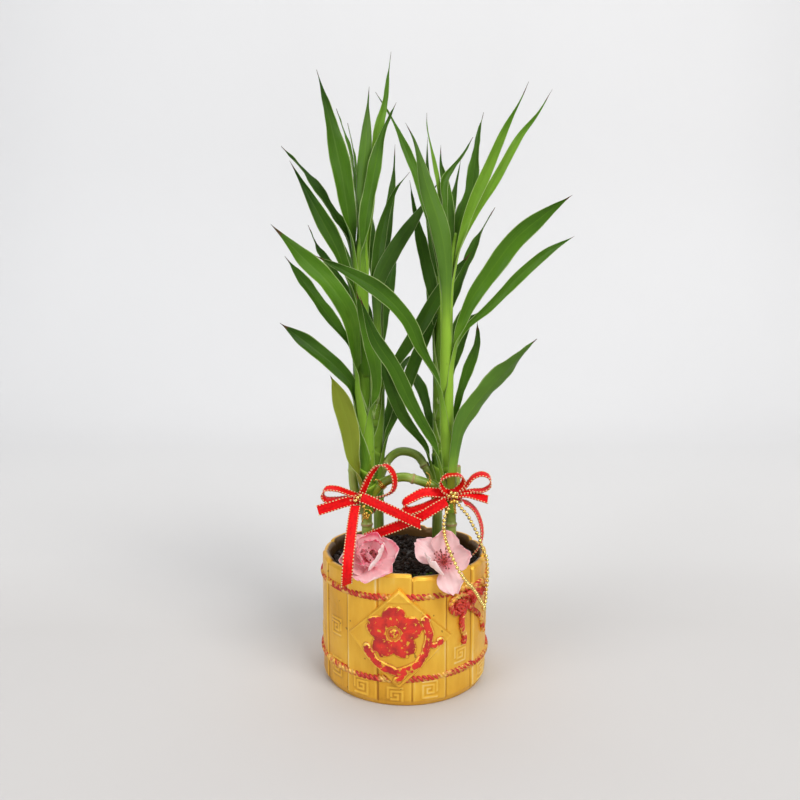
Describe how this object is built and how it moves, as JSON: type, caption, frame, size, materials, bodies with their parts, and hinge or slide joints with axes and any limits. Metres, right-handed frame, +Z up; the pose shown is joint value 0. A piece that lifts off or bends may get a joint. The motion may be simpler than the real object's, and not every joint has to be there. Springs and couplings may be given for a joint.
{
  "type": "lucky bamboo",
  "caption": "Potted lucky bamboo: arched canes with leafy shoots in a gold pot shaped as bound bamboo slips, with red ribbon bows, cloth plum blossoms and a gold bead chain.",
  "frame": {"origin": "middle of the pot's flat base, on the surface it stands on", "axes": "+Z up along the canes; -Y to the front, where the bows, the blossoms and the plaque are; +X to the right seen from the front"},
  "size_m": [0.1757, 0.1138, 0.3671],
  "materials": {
    "gold_paint": "satin gold paint, red paint on the emblem and the ropes",
    "soil": "damp black potting soil with a little moss",
    "leaf_green": "fresh satin leaf and cane",
    "leaf_dark": "fresh satin leaf and cane, darker",
    "petal_pink": "matt cloth petals",
    "petal_pale": "matt cloth petals",
    "stamen": "thin red-brown threads with dark tips",
    "ribbon": "red satin with gold stitched edges",
    "gold_bead": "gold plated, glossy",
    "gold_wire": "polished gold wire"
  },
  "bodies": {
    "root": {"pot": "gold_paint", "soil": "soil", "plant_front": "leaf_green", "plant_back": "leaf_dark", "blossom_left": "petal_pink", "blossom_right": "petal_pale", "stamens_left": "stamen", "stamens_right": "stamen", "ribbon_bow_left": "ribbon", "ribbon_bow_right": "ribbon", "ribbon_tail_left_front": "ribbon", "ribbon_tail_left_right": "ribbon", "ribbon_tail_right_long": "ribbon", "ribbon_tail_right_edge": "ribbon", "bead_chain_inner": "gold_bead", "bead_chain_outer": "gold_bead", "bead_chain_clasp": "gold_bead", "wire_tie_left": "gold_wire", "wire_tie_right": "gold_wire", "gold_spray_left": "gold_wire", "gold_twist_right": "gold_wire"}
  },
  "joints": []
}
